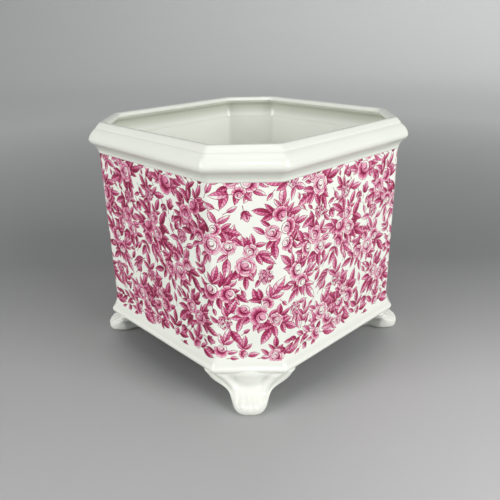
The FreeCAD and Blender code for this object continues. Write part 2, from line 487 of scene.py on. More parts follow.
def foot_relief(share, side, height):
    """Relief on the front in millimetres outward, and its hollow part on its own.

    Each form is a bell across the foot times a fade in height: a knee in the middle, valleys beside
    it, ridges, grooves at the sides, and flutes on the toe, which are a cosine across it.
    """
    across = np.abs(share)
    rising = fade(height, 12.5, 20.5)
    knee = knee_reach * bump(side, 0.0, np.interp(height, [12.0, 24.0], [3.0, 7.4])) * rising
    valley = -1.1 * bump(across, 0.36, 0.06) * rising * (1.0 - fade(height, 19.0, 24.0))
    ridge = 1.2 * bump(across, 0.60, 0.08) * fade(height, 10.0, 13.0) * (1.0 - fade(height, 21.5, 24.4))
    groove = -1.1 * bump(across, 0.80, 0.045) * fade(height, 8.0, 14.0)
    groove = groove * (1.0 - fade(height, 22.5, 24.4))
    toes = fade(height, 5.0, 8.0) * (1.0 - fade(height, 10.0, 12.0))
    toes = toes * (1.0 - fade(np.abs(side), 8.0, 10.5))
    flutes = 0.60 * np.cos(2.0 * math.pi * (side - 1.1) / 4.1 + math.pi) * toes
    return knee + valley + ridge + groove + flutes, valley + groove


def foot_points_at(angle):
    """Level outlines of a foot, with the glaze gathered at each point.

    An outline is a squared oval, (cos, sin) each raised to a power, longer ahead of its widest place
    than behind it, with the relief on its front half and a swell at the bracket's scrolls.
    """
    height = np.concatenate([[0.0, 0.0], np.linspace(0.12, foot_rows[-1, 0], foot_levels - 2)])[:, None]
    shrink = np.ones(foot_levels)[:, None]
    shrink[0] = 0.55
    turn = full_turn(foot_columns)[None, :]
    toe, wide, heel, half = [eased(values, height) for values in foot_rows[:, 1:].T]
    power = 2.0 / np.interp(height, [0.5, 5.0, 9.0, 15.0], [3.2, 2.5, 2.2, 2.4])
    ahead_part = np.sign(np.cos(turn)) * np.abs(np.cos(turn)) ** power
    share = np.sign(np.sin(turn)) * np.abs(np.sin(turn)) ** power
    behind = fade(-ahead_part, 0.05, 0.75) * (1.0 - fade(height, 12.0, 19.0))
    scroll = scroll_swell * bump(height, 17.0, 3.0) * bump(ahead_part, -0.30, 0.30)
    side = share * (half * shrink * (1.0 - heel_narrowing * behind) + scroll)
    depth = np.where(ahead_part > 0.0, toe - wide, wide - heel)
    front = fade(ahead_part, 0.0, 0.25)
    relief, hollow = foot_relief(share, side, height)
    out = wide + depth * ahead_part * shrink + relief * front
    flat = turned(np.stack([out, side], -1), angle)
    return lifted(flat, height), np.clip(-hollow_pooling * hollow * front, 0.0, 1.0).reshape(-1)


# %% Four feet
foot_places = {"front_right": -45.0, "back_right": 45.0, "back_left": 135.0, "front_left": -135.0}
feet = []
foot_quads = grid_quads(foot_levels, foot_columns, False)
for place, degrees in foot_places.items():
    levels, gathered = foot_points_at(math.radians(degrees))
    points, faces = capped(levels, foot_quads, foot_columns)
    foot = new_piece("foot." + place, points, faces, "foot_" + place)
    add_pooling_and_shade(foot, np.concatenate([gathered, np.zeros(len(points) - len(levels))]))
    feet.append(foot)

# %% [markdown]
# ## Glaze
# Porcelain glaze is a clear, slightly green glass over a white body: it is glossy, waves a little,
# gathers a greener tone where it pools in hollows, and leaves the soles of the feet bare. Under the
# rim's lip and below its tip the same darker tone is painted shade. One Principled shader holds the
# gloss; noise on Object coordinates drives its small variations.

# %% Node helpers


def feed(tree, socket, value):
    """Gives an input a constant, or links it to another node's output."""
    if isinstance(value, bpy.types.NodeSocket):
        tree.links.new(value, socket)
    else:
        socket.default_value = value


def add_node(tree, kind, **settings):
    """A shader node: a setting is the name of an input, or else of one of the node's options."""
    node = tree.nodes.new("ShaderNode" + kind)
    for key, value in settings.items():
        if key in node.inputs.keys():
            feed(tree, node.inputs[key], value)
        else:
            setattr(node, key, value)
    return node


def calculated(tree, kind, operation, *values):
    """The result of a Math or Vector Math node."""
    node = add_node(tree, kind, operation=operation)
    for socket, value in zip(node.inputs, values):
        feed(tree, socket, value)
    return node.outputs["Value"]


def blend_colour(tree, share, first, second):
    """Mixes two colours by a share; sockets 6 and 7 are the Mix node's colours."""
    mix = add_node(tree, "Mix", data_type="RGBA", Factor=share)
    feed(tree, mix.inputs[6], first)
    feed(tree, mix.inputs[7], second)
    return mix.outputs[2]


def colour_ramp(tree, value, stops, interpolation):
    """A colour for each value, between listed (value, colour) stops."""
    node = add_node(tree, "ValToRGB", Fac=value)
    node.color_ramp.interpolation = interpolation
    elements = node.color_ramp.elements
    for index, (position, colour) in enumerate(stops):
        element = elements[index] if index < 2 else elements.new(position)
        element.position = position
        element.color = colour
    return node.outputs["Color"]


def spread(tree, value, low, high, new_low=0.0, new_high=1.0):
    """Maps a value from one range onto another, held at the ends."""
    ends = {"From Min": low, "From Max": high, "To Min": new_low, "To Max": new_high}
    return add_node(tree, "MapRange", Value=value, **ends).outputs["Result"]


def noise(tree, place, scale, detail):
    return add_node(tree, "TexNoise", Vector=place, Scale=scale, Detail=detail).outputs["Fac"]


# %% Glaze material
glaze_white = (0.872, 0.886, 0.818, 1.0)
# The pooled tone is also the painted shade under the rim's lip and tip.
pooled_glaze_and_shade = (0.400, 0.432, 0.350, 1.0)
bare_clay = (0.700, 0.655, 0.560, 1.0)
bare_roughness = 0.75


def new_material(name):
    """A Principled material: itself, its nodes, the shader's inputs and the Object coordinates."""
    material = bpy.data.materials.new(name)
    material.use_nodes = True
    tree = material.node_tree
    place = add_node(tree, "TexCoord").outputs["Object"]
    return material, tree, tree.nodes["Principled BSDF"].inputs, place


def glaze(name):
    """Gloss from a Principled shader, a wavy surface, and a colour that is greener where glaze gathers and
    darker as painted shade under the rim's lip and tip.
    """
    material, tree, shader, place = new_material(name)
    wave = noise(tree, place, 42.0, 1.0)
    ripple = add_node(tree, "Bump", Height=wave, Strength=0.12, Distance=0.0012)
    gloss = spread(tree, noise(tree, place, 95.0, 3.0), 0.3, 0.7, 0.10, 0.17)
    drift = spread(tree, noise(tree, place, 22.0, 2.0), 0.35, 0.75, 0.0, 0.05)
    colour = blend_colour(tree, drift, glaze_white, pooled_glaze_and_shade)
    # Glaze pooling in hollows, and on the rim painted shade under the lip and tip, read from one
    # attribute.
    pooling_and_shade = add_node(tree, "Attribute", attribute_name="pooling_and_shade").outputs["Fac"]
    colour = blend_colour(tree, spread(tree, pooling_and_shade, 0.0, 1.0, 0.0, 0.88), colour, pooled_glaze_and_shade)
    feed(tree, shader["IOR"], 1.5)
    feed(tree, shader["Normal"], ripple.outputs["Normal"])
    feed(tree, shader["Roughness"], gloss)
    feed(tree, shader["Base Color"], colour)
    return material, tree, shader, place, colour


def foot_glaze():
    """Glaze that stops short of the sole, where the bare clay shows and is rough."""
    material, tree, shader, place, colour = glaze("foot_glaze")
    height = add_node(tree, "SeparateXYZ", Vector=place).outputs["Z"]
    wander = spread(tree, noise(tree, place, 300.0, 2.0), 0.3, 0.7, -0.0003, 0.0003)
    edge = calculated(tree, "Math", "ADD", height, wander)
    bare = spread(tree, edge, 0.0001, 0.0006, 1.0, 0.0)
    gloss = shader["Roughness"].links[0].from_socket
    rough = add_node(tree, "Mix", data_type="FLOAT", Factor=bare, A=gloss, B=bare_roughness)
    feed(tree, shader["Roughness"], rough.outputs["Result"])
    feed(tree, shader["Base Color"], blend_colour(tree, bare, colour, bare_clay))
    return material


def dress(piece, material):
    piece.data.materials.clear()
    piece.data.materials.append(material)


pot_glaze = glaze("white_glaze")[0]
sole_glaze = foot_glaze()
smooth_pieces = [rim, plinth, floor_dish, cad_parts["body_wall"]]
for piece in smooth_pieces:
    dress(piece, pot_glaze)
for piece in feet:
    dress(piece, sole_glaze)
print("glazed", len(smooth_pieces + feet), "pieces")

# %% [markdown]
# ## Printed sheets
# The roses are a transfer print: a paper-thin sheet of engraved crimson ink, slid onto each side and
# fired under the gloss, with one sheet for a cut corner and the face beside it. A picture could be
# painted on, but the print here stays drawing: each petal and leaf is an outline from a formula,
# all outlines are cut into one another by a flat triangulation, and every triangle remembers the
# ink tone and the stroke direction of the topmost shape it belongs to.

# %% The sheet's path round a corner and a face
rounded_off = 2.0 * wall_radius * math.tan(math.pi / 8.0)
corner_run = corner_cut * math.sqrt(2.0) - rounded_off
face_run = 2.0 * (wall_half - corner_cut) - rounded_off
corner_arc = wall_radius * math.pi / 4.0
path_breaks = np.cumsum([0.0, corner_arc / 2.0, corner_run, corner_arc, face_run, corner_arc / 2.0])
path_facing = np.radians([-67.5, -45.0, -45.0, 0.0, 0.0, 22.5])
sheet_length = path_breaks[-1]
sheet_height = rim_bottom - plinth_top


def path_centres():
    """Where the rounding's centre stands at each break: it slides on the runs and waits on the arcs."""
    corner_middle = (corner_reach - wall_radius) * np.array([1.0, -1.0]) / math.sqrt(2.0)
    corner_half = corner_run / 2.0 * np.array([1.0, 1.0]) / math.sqrt(2.0)
    face_middle = np.array([wall_half - wall_radius, 0.0])
    face_half = np.array([0.0, face_run / 2.0])
    first, second = corner_middle - corner_half, corner_middle + corner_half
    last = face_middle + face_half
    return np.array([first, first, second, second, last, last])


def front_lift(flat):
    """How far the sheet's face stands off the wall: its thickness, plus a squared flare at the plinth."""
    below = np.clip((flare_top - plinth_top - flat[:, 1]) / (flare_top - plinth_top), 0.0, 1.0)
    return sheet_thickness + flare_reach * below ** 2


def wrapped(flat, lift, quarter):
    """Flat (along, up) points laid on the wall: centre + (radius + lift) times the facing direction."""
    centres = path_centres()
    facing = np.interp(flat[:, 0], path_breaks, path_facing)
    out = wall_radius + lift
    east = np.interp(flat[:, 0], path_breaks, centres[:, 0]) + out * np.cos(facing)
    north = np.interp(flat[:, 0], path_breaks, centres[:, 1]) + out * np.sin(facing)
    laid = turned(np.stack([east, north], -1), quarter * math.pi / 2.0)
    return lifted(laid, plinth_top + flat[:, 1])


print("a printed sheet is", round(sheet_length, 1), "by", sheet_height, "mm")

# %% [markdown]
# ### Shapes and leaves
# A shape is an outline with two straight-line rules over it: one for the tone of the ink, one for
# the phase of its engraved strokes. A leaf is a spine with a width on both sides.

# %% Shapes and leaves
contour = 0.22
between_strokes = 0.25


def level_tone(tone):
    return (tone, 0.0, 0.0)


def shape(outline, tone, strokes=(between_strokes, 0.0, 0.0)):
    """An outline that always runs anticlockwise, by the sign of its area, with its two rules."""
    outline = np.asarray(outline, float)
    following = np.roll(outline, -1, axis=0)
    area = np.sum(outline[:, 0] * following[:, 1] - following[:, 0] * outline[:, 1])
    if area < 0.0:
        outline = outline[::-1]
    return outline, np.asarray(tone, float), np.asarray(strokes, float)


def ribbon(spine, half_width):
    """Outline of a line with a width: the spine plus its sideways direction, there and back."""
    slope = np.gradient(spine, axis=0)
    side = np.stack([-slope[:, 1], slope[:, 0]], -1) / np.hypot(slope[:, 0], slope[:, 1])[:, None]
    edge = side * np.broadcast_to(half_width, len(spine))[:, None]
    return spine + edge, spine - edge


def curve(length, bend, share):
    """Places along the first axis at shares of a length, rising aside as the square of the share."""
    return np.stack([length * share, bend * length * share ** 2], -1)


def leaf(length, width, bend, deep):
    """A pointed leaf: a curved spine, and a width of t^a (1 - t)^b along it."""
    share = np.linspace(0.0, 1.0, 6)
    spine = curve(length, bend, share)
    swell = share ** 0.75 * (1.0 - share) ** 0.95
    half = width / 2.0 * swell / swell.max()
    upper, lower = ribbon(spine, half)
    tip = spine[-1] + (spine[-1] - spine[-2]) * 0.18
    over, under = ribbon(spine, half + contour)
    edge = np.vstack([over[:-1], tip, under[-2::-1]])
    vein = length / 5.0
    rib_over, rib_under = ribbon(spine, 0.20 * (1.0 - share) + 0.04)
    inner_up = np.vstack([spine, (spine + (upper - spine) * 0.93)[-2:0:-1]])
    inner_down = np.vstack([spine, (spine + (lower - spine) * 0.93)[-2:0:-1]])
    return [
        shape(edge, level_tone(0.86)),
        shape(inner_up, (0.40 + deep, -0.42 / length, 0.0), (0.0, 1.0 / vein, -0.8 / vein)),
        shape(inner_down, (0.76 + deep, -0.46 / length, 0.0), (0.0, 1.0 / vein, 0.8 / vein)),
        shape(np.vstack([rib_over, rib_under[::-1]]), level_tone(1.0)),
    ]


def leaf_discs(length):
    """Three discs along a leaf, for trying whether it has room."""
    places = ((0.28, 0.17), (0.55, 0.18), (0.82, 0.11))
    return [(along * length, 0.0, radius * length) for along, radius in places]


# %% [markdown]
# ### Roses
# A petal is a notched oval, pale at its edge. Petals overlap round a cup, and crescents shade the cup.

# %% Petals and roses
pale_edge = -0.14
petal_pitch = 0.95
cup_pitch = 1.1


def oval(middle, half_long, half_wide, direction, count, notch=0.0, grow=0.0):
    """An oval, its far end pulled in by the notch: middle + a cos(t) along and b sin(t) across."""
    turn = full_turn(count)
    far = np.exp(-(np.minimum(turn, 2.0 * math.pi - turn) / 0.5) ** 2)
    along = (half_long + grow) * np.cos(turn) - notch * far
    across = (half_wide + grow) * np.sin(turn) * (1.0 + 0.18 * np.cos(turn))
    return turned(np.stack([along, across], -1), direction) + middle


def strokes_along(heading, pitch):
    """A rule for strokes that run along a heading: their phase grows across it, one for each pitch."""
    return (0.0, -heading[1] / pitch, heading[0] / pitch)


def petal(inner, outer, half_wide, direction, base_tone, edge_tone):
    """A petal that leans out from the middle of its flower, pale at its edge, with strokes along it."""
    heading = polar(1.0, direction)
    middle = (inner + outer) / 2.0 * heading
    half_long = (outer - inner) / 2.0
    notch = 0.16 * half_long
    slope = (edge_tone - base_tone) / (outer - inner)
    return [
        shape(oval(middle, half_long, half_wide, direction, 12, notch, contour), level_tone(0.70)),
        shape(oval(middle, half_long, half_wide, direction, 12, notch),
              (base_tone - slope * inner, *(slope * heading)), strokes_along(heading, petal_pitch)),
    ]


def crescent(radius, shift, direction, count):
    """A disc's part left uncovered by the same disc moved aside: an outer and a flatter inner arc."""
    turn = np.linspace(-1.9, 1.9, count)
    outer = polar(radius, turn)
    inner = np.stack([(radius - shift) * np.cos(turn) + shift * (np.cos(turn) - 1.0) * 0.4,
                      radius * 0.97 * np.sin(turn)], -1)
    return turned(np.vstack([outer, inner[-2:0:-1]]), direction)


def rose_heart(middle, radius, direction, deep):
    """The cup of a rose: a bowl, darker away from its lit side, with a wrapped petal and a dark heart."""
    middle = np.asarray(middle, float)
    lit = polar(1.0, direction)
    slope = 0.40 / radius
    bowl_tone = (0.06 + deep + slope * middle @ lit, *(-slope * lit))
    mouth = middle + 0.14 * radius * lit
    mouth_oval = (mouth, radius * 0.60, radius * 0.48, direction + 1.2, 12, 0.0)
    return [
        shape(oval(middle, radius, radius * 0.95, direction, 18, 0.0, contour), level_tone(0.90)),
        shape(oval(middle, radius * 0.97, radius * 0.92, direction, 18), bowl_tone,
              strokes_along(lit, cup_pitch)),
        shape(crescent(radius * 0.94, radius * 0.30, direction + math.pi, 8) + middle, level_tone(0.98)),
        shape(oval(*mouth_oval, contour), level_tone(0.76)),
        shape(oval(*mouth_oval), level_tone(0.10 + deep)),
        shape(crescent(radius * 0.44, radius * 0.24, direction - 1.9, 6) + mouth, level_tone(1.0)),
    ]


def open_rose(radius, chance):
    """A full rose seen from above: five outer petals, four inner ones and a cup."""
    start = chance.uniform(0.0, 2.0 * math.pi)
    deep = chance.uniform(-0.08, 0.16)
    shapes = []
    for index in (0, 2, 4, 1, 3):
        direction = start + index * 2.0 * math.pi / 5.0 + chance.uniform(-0.15, 0.15)
        reach = radius * chance.uniform(0.93, 1.06)
        shapes += petal(0.15 * radius, reach, 0.46 * radius, direction, 0.84 + deep, pale_edge)
    for index in range(4):
        direction = start + 0.6 + index * math.pi / 2.0 + chance.uniform(-0.2, 0.2)
        shapes += petal(0.05 * radius, 0.70 * radius, 0.37 * radius, direction, 0.95 + deep, pale_edge)
    return shapes + rose_heart((0.0, 0.0), 0.50 * radius, start, deep)


def ball_rose(radius, chance):
    """A rose seen from the side: petals spread below a large round cup."""
    start = chance.uniform(0.0, 2.0 * math.pi)
    deep = chance.uniform(-0.08, 0.20)
    shapes = []
    for lean in (-1.25, 1.25, -0.55, 0.55, 0.0):
        direction = start + math.pi + lean + chance.uniform(-0.12, 0.12)
        reach = radius * chance.uniform(0.96, 1.08)
        shapes += petal(0.25 * radius, reach, 0.40 * radius, direction, 0.92 + deep, pale_edge)
    return shapes + rose_heart(polar(0.12 * radius, start), 0.62 * radius, start, deep)


print("an open rose is", len(open_rose(5.0, np.random.default_rng(1))), "shapes")

# %% [markdown]
# ### Stems, buds and sprays
# A stem is a tapering ribbon that curves as the square of its length. Leaves and buds are set on it,
# each turned from the way the stem points where it stands.

# %% Stems, buds and sprays


def moved(shapes, spot, turn):
    """Shapes turned and moved, with their tone and stroke rules carried along."""
    spot = np.asarray(spot, float)

    def carried(rule):
        slope = turned(rule[1:], turn)
        return np.array([rule[0] - slope @ spot, *slope])

    return [(turned(line, turn) + spot, carried(tone), carried(strokes)) for line, tone, strokes in shapes]


def stem(length, bend, start_width=0.26, end_width=0.14):
    """A tapering stalk from the origin: a ribbon along the curve."""
    share = np.linspace(0.0, 1.0, 6)
    half_width = start_width + (end_width - start_width) * share
    over, under = ribbon(curve(length, bend, share), half_width)
    return [shape(np.vstack([over, under[::-1]]), level_tone(0.84))]


def bud(length, chance):
    """A pointed bud held in two narrow sepals on a short stalk."""
    stalk = 0.35 * length
    turn = full_turn(14)
    swell = 0.24 * length * np.sin(turn) * (1.0 - 0.35 * np.cos(turn))
    body = np.stack([stalk + 0.33 * length * (1.0 + np.cos(turn)), swell], -1)
    middle = body.mean(0)
    shapes = stem(stalk + 0.5, chance.uniform(-0.2, 0.2))
    shapes.append(shape(middle + (body - middle) * 1.10, level_tone(0.93)))
    shapes.append(shape(body, (0.62, -0.5 / length, 0.0), (0.0, 0.15, 1.1)))
    fold = oval((stalk + 0.36 * length, 0.03 * length), 0.20 * length, 0.05 * length, 0.1, 8)
    shapes.append(shape(fold, level_tone(0.80)))
    for lean in (-0.42, 0.42):
        sepal = leaf(0.55 * length, 0.15 * length, 0.25 * np.sign(lean), 0.20)
        shapes += moved(sepal, (stalk - 0.2, 0.0), lean)
    return shapes


def curve_at(length, bend, share):
    """A place on a stalk's curve and the way the stalk points there."""
    return curve(length, bend, share), math.atan(2.0 * bend * share)


def leaf_on(stalk, bend, share, size, width, lean, curl, deep):
    """A leaf set on a stalk at a share of its length; its width is a share of its size."""
    spot, heading = curve_at(stalk, bend, share)
    return moved(leaf(size, size * width, curl, deep), spot, heading + lean)


def alternate(start):
    """Six places along a stalk, as shares of it, each with the side its leaf grows on."""
    return [(start + 0.13 * index, 1.0 if index % 2 else -1.0) for index in range(6)]


def sprig(length, chance):
    """A rose leaf: a curved stalk with pairs of leaflets and one at its end."""
    bend = chance.uniform(-0.3, 0.3)
    deep = chance.uniform(-0.15, 0.20)
    stalk = 0.70 * length
    shapes = stem(stalk, bend)
    for share in (0.40, 0.72):
        small = length * chance.uniform(0.36, 0.44) * (1.15 - 0.30 * share)
        for side in (-1.0, 1.0):
            lean = 0.95 * side + chance.uniform(-0.15, 0.15)
            shapes += leaf_on(stalk, bend, share, small, 0.44, lean, -0.14 * side, deep)
    return shapes + leaf_on(stalk, bend, 0.97, 0.42 * length, 0.18 / 0.42, 0.0, 0.05, deep)


def spray(length, chance):
    """A long stalk with leaves on alternate sides, growing smaller towards a bud at its end."""
    bend = chance.uniform(0.15, 0.40) * chance.choice([-1.0, 1.0])
    stalk = 0.78 * length
    shapes = stem(stalk, bend, 0.32, 0.16)
    for share, side in alternate(0.18):
        small = length * (0.30 - 0.10 * share) * chance.uniform(0.9, 1.15)
        lean = side * chance.uniform(0.6, 0.95)
        deep = chance.uniform(-0.15, 0.25)
        shapes += leaf_on(stalk, bend, share, small, 0.42, lean, -0.15 * side, deep)
    return shapes + moved(bud(length * 0.34, chance), *curve_at(stalk, bend, 0.96))


def fern(length, chance):
    """A feathery blade: slender leaves on alternate sides, leaning forward, and one at the tip."""
    bend = chance.uniform(-0.25, 0.25)
    deep = chance.uniform(-0.10, 0.15)
    stalk = 0.62 * length
    shapes = stem(stalk, bend, 0.24, 0.14)
    for share, side in alternate(0.22):
        small = length * (0.46 - 0.12 * share)
        shapes += leaf_on(stalk, bend, share, small, 0.27, 0.55 * side, -0.18 * side, deep)
    return shapes + leaf_on(stalk, bend, 0.97, 0.38 * length, 0.10 / 0.38, 0.0, 0.0, deep)


def stalked_leaf(length, chance):
    """One leaf on a short stalk that bends the other way."""
    bend = chance.uniform(-0.25, 0.25)
    stalk = 0.30 * length
    width = chance.uniform(0.36, 0.46)
    deep = chance.uniform(-0.15, 0.15)
    blade = leaf_on(stalk, -bend, 1.0, 0.72 * length, width, 0.0, bend, deep)
    return stem(stalk, -bend, 0.20, 0.15) + blade


# %% Small blossoms
golden_angle = 2.39996
blossom_count = 17


def flower(radius, chance):
    """A small five-petalled blossom: a wavy outline and a dark middle."""
    turn = full_turn(15)
    wavy = radius * (0.80 + 0.20 * np.cos(5.0 * turn + chance.uniform(0.0, 6.0)))
    line = polar(wavy, turn)
    return [
        shape(line + line / radius * 0.15, level_tone(0.92)),
        shape(line * 0.95, level_tone(chance.uniform(0.02, 0.32)), (0.0, 0.9, 0.3)),
        shape(oval((0.0, 0.0), radius * 0.26, radius * 0.22, 0.0, 6), level_tone(0.95)),
    ]


def flower_cluster(radius, chance):
    """Many small blossoms packed on a sunflower spiral over a dark ground."""
    turn = full_turn(14)
    rough = radius * (0.90 + 0.08 * np.cos(7.0 * turn) + 0.04 * np.cos(3.0 * turn))
    shapes = [shape(polar(rough, turn), level_tone(0.80), (0.0, 0.8, 0.6))]
    for index in range(blossom_count):
        angle = index * golden_angle
        away = radius * 0.92 * math.sqrt((index + 0.5) / blossom_count)
        blossom = flower(radius * chance.uniform(0.20, 0.27), chance)
        shapes += moved(blossom, polar(away, angle), angle)
    return shapes


# %% [markdown]
# ### Laying out the print
# The sprays are thrown onto the sheet one after the other, large ones first, and kept only where
# they have room; discs stand for the motifs while they are tried. The sheet repeats along the
# wall, so it meets itself at every corner. It ends raggedly above the plinth and is cut off
# straight by the rim, like a transfer trimmed to fit.

# %% Room for a motif
layout = np.random.default_rng(11)
layers = {"under": [], "leaves": [], "blossoms": [], "buds": [], "roses": []}
taken = np.zeros((0, 3))
past_the_rim = 3.0
lowest_group = 12.0
corner_end = path_breaks[3]


def margin_at(along):
    """The ragged lower edge of the print, in millimetres above the plinth."""
    wave = 2.0 * math.pi * along / sheet_length
    return -0.6 + 0.6 * np.sin(3.0 * wave + 1.0) + 0.6 * np.sin(7.0 * wave + 0.4)


def placed_discs(discs, spot, turn):
    discs = np.asarray(discs, float)
    return np.column_stack([turned(discs, turn) + spot, discs[:, 2]])


def has_room(discs, gap):
    """True if the discs clear everything placed, counted round the repeat, and the ragged lower edge."""
    if np.any(discs[:, 1] - discs[:, 2] < margin_at(discs[:, 0])):
        return False
    if np.any(discs[:, 1] > sheet_height + past_the_rim):
        return False
    across = np.abs(discs[:, None, 0] - taken[None, :, 0]) % sheet_length
    across = np.minimum(across, sheet_length - across)
    apart = np.hypot(across, discs[:, None, 1] - taken[None, :, 1])
    return not np.any(apart < discs[:, None, 2] + taken[None, :, 2] + gap)


def is_free(spot, radius, gap):
    return has_room(np.array([[*spot, radius]]), gap)


def put(layer, shapes, discs, spot, turn):
    global taken
    layers[layer].append(moved(shapes, spot, turn))
    taken = np.vstack([taken, placed_discs(discs, spot, turn)])


# %% Groups of roses
group_room = 17.0
open_share = 0.45


def put_rose(spot, radius):
    kind = open_rose if layout.random() < open_share else ball_rose
    put("roses", kind(radius, layout), [(0.0, 0.0, 0.94 * radius)], spot, 0.0)


def leaf_fan(spot, radius, angle):
    """Three leaves that spread from behind a flower, wherever their tips have room."""
    base = spot + polar(0.66 * radius, angle)
    length = layout.uniform(8.0, 12.5)
    deep = layout.uniform(-0.12, 0.22)
    opening = layout.uniform(0.75, 1.05)
    for side, share in ((-1.0, 0.72), (1.0, 0.72), (0.0, 1.0)):
        turn = angle + side * opening
        size = length * share * layout.uniform(0.9, 1.1)
        start = 0.30 * length if side == 0.0 else 0.10 * length
        root = base + polar(start, angle)
        if has_room(placed_discs(leaf_discs(size)[2:], root, turn), -0.3):
            shapes = leaf(size, size * layout.uniform(0.36, 0.44), -0.15 * side, deep)
            if side == 0.0:
                shapes = moved(stem(start + 0.5, 0.0), (-start, 0.0), 0.0) + shapes
            put("leaves", shapes, leaf_discs(size), root, turn)


groups = []
for dart in range(900):
    spot = layout.uniform((0.0, lowest_group), (sheet_length, sheet_height + 2.0))
    if is_free(spot, group_room if groups else 0.0, 0.0):
        first = layout.uniform(5.4, 7.2)
        members = [(spot, first)]
        put_rose(spot, first)
        heading = layout.uniform(0.0, 2.0 * math.pi)
        for extra in range(layout.integers(1, 4)):
            heading += layout.uniform(1.0, 1.7)
            radius = layout.uniform(3.6, 5.6)
            beside = spot + polar((first + radius) * 0.88, heading)
            if is_free(beside, radius * 0.7, -1.8):
                put_rose(beside, radius)
                members.append((beside, radius))
        groups.append(members)

# %% Roses along the lower edge, and leaves
edge_spacing = 11.0
fan_share = 0.85
corner_leaves = 4
face_leaves = 13

for along in np.arange(4.0, sheet_length, edge_spacing):
    radius = layout.uniform(3.0, 5.0)
    along = along + layout.uniform(-4.0, 4.0)
    spot = (along, margin_at(along) + radius + layout.uniform(0.0, 3.0))
    if is_free(spot, radius, 0.2):
        put_rose(spot, radius)
        for angle in (-0.3, math.pi + 0.3, math.pi / 2.0, -math.pi / 2.0):
            leaf_fan(spot, radius, angle + layout.uniform(-0.4, 0.4))

for members in groups:
    middle = np.mean([spot for spot, radius in members], axis=0)
    for spot, radius in members:
        away = math.atan2(spot[1] - middle[1], spot[0] - middle[0]) + layout.uniform(-0.4, 0.4)
        for lean in (0.0, 1.5, -1.5):
            if layout.random() < fan_share:
                leaf_fan(spot, radius, away + lean)
    leaf_count = corner_leaves if middle[0] < corner_end else face_leaves
    for turn in layout.uniform(0.0, 2.0 * math.pi, leaf_count):
        size = layout.uniform(7.5, 11.0)
        start = layout.uniform(2.0, 6.5)
        root = middle + polar(start, turn)
        if min(root[1], root[1] + size * math.sin(turn)) > 2.0:
            under = leaf(size, size * 0.42, layout.uniform(-0.2, 0.2), layout.uniform(0.0, 0.32))
            put("under", under, leaf_discs(size)[2:], root, turn + layout.uniform(-0.5, 0.5))

# %% Blossoms, sprays and buds in the gaps
cluster_radius = 4.8
cluster_disc = 4.6
stick = [(0.12, 0.5), (0.35, 0.9), (0.62, 0.9), (0.88, 0.6)]
corner_air = 0.3
face_air = -0.7


def scatter(layer, motif, size, width, tries, gap):
    """Throws a long motif at random places and turns, and keeps it where it has room.

    The cut corner asks for a wider gap than the faces, so the print is airier there.
    """
    discs = [(share * size, 0.0, width * part) for share, part in stick]
    for dart in range(tries):
        spot = layout.uniform((0.0, 1.0), (sheet_length, sheet_height + past_the_rim))
        turn = layout.uniform(0.0, 2.0 * math.pi)
        air = corner_air if spot[0] < corner_end else face_air
        if has_room(placed_discs(discs, spot, turn), gap + air):
            put(layer, motif(size * layout.uniform(0.9, 1.1), layout), discs, spot, turn)


for dart in range(300):
    spot = layout.uniform((0.0, lowest_group), (sheet_length, sheet_height))
    cluster = flower_cluster(cluster_radius, layout)
    if is_free(spot, cluster_disc, -0.4):
        put("blossoms", cluster, [(0.0, 0.0, cluster_disc)], spot, 0.0)
        for angle in layout.uniform(0.0, 6.0) + np.arange(3) * 2.1:
            leaf_fan(spot, cluster_disc, angle)

scatter("leaves", spray, 30.0, 3.9, 900, -0.2)
scatter("leaves", fern, 17.0, 2.6, 200, 0.2)
scatter("leaves", sprig, 17.0, 3.5, 900, 0.0)
scatter("buds", bud, 10.5, 2.4, 500, 0.2)
scatter("leaves", sprig, 11.0, 2.4, 700, 0.3)
scatter("leaves", stalked_leaf, 10.0, 1.7, 700, 0.3)
scatter("buds", bud, 7.5, 1.7, 500, 0.5)
scatter("leaves", stalked_leaf, 7.0, 1.2, 1200, 0.2)
covered = math.pi * np.sum(taken[:, 2] ** 2) / (sheet_length * sheet_height)
print({layer: len(motifs) for layer, motifs in layers.items()}, "cover", round(covered, 2))

# %% [markdown]
# ### Cutting the outlines into one flat mesh
# A constrained Delaunay triangulation cuts all the outlines where they cross and says which of them
# each triangle lies in; the last one drawn is on top. Upright lines across the soft corners let the
# sheet bend there. The sheet has a thin edge and a back, so it is a closed piece like its solid.

# %% Cut the outlines
drawn = [one for layer in layers.values() for motif in layer for one in motif]
repeats = [0.0, sheet_length, -sheet_length]
outlines, tone_rules, stroke_rules = [], [level_tone(0.0)], [(between_strokes, 0.0, 0.0)]
for outline, tone, strokes in drawn:
    for shift in repeats:
        low, high = outline[:, 0].min() + shift, outline[:, 0].max() + shift
        if high > 0.0 and low < sheet_length and outline[:, 1].min() < sheet_height:
            outlines.append(outline + [shift, 0.0])
            tone_rules.append((tone[0] - tone[1] * shift, tone[1], tone[2]))
            stroke_rules.append((strokes[0] - strokes[1] * shift, strokes[1], strokes[2]))

